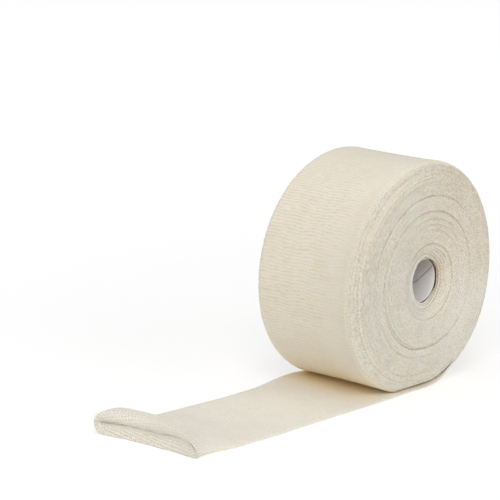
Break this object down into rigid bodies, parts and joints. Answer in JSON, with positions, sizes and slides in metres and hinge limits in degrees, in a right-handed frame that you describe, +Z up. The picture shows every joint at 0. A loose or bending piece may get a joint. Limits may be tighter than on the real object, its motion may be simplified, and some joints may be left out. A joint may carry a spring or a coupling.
{
  "type": "tubular bandage roll",
  "caption": "Knitted tubular gauze wound flat on a card core, with a loose end lying out from under the roll and its mouth a little open, for slipping over a finger or limb.",
  "frame": {"origin": "on the surface that the roll lies on, straight below the middle of the roll", "axes": "X along the roll's axis, Y across it with the loose end running towards -Y, Z up"},
  "size_m": [0.0678, 0.2179, 0.1133],
  "materials": {
    "gauze": "undyed knitted cotton gauze, matt, with fine cross ribs",
    "card": "spirally wound kraft card with a white lining"
  },
  "bodies": {
    "root": {"wound_roll": "gauze", "loose_end": "gauze", "core_tube": "card"}
  },
  "joints": []
}
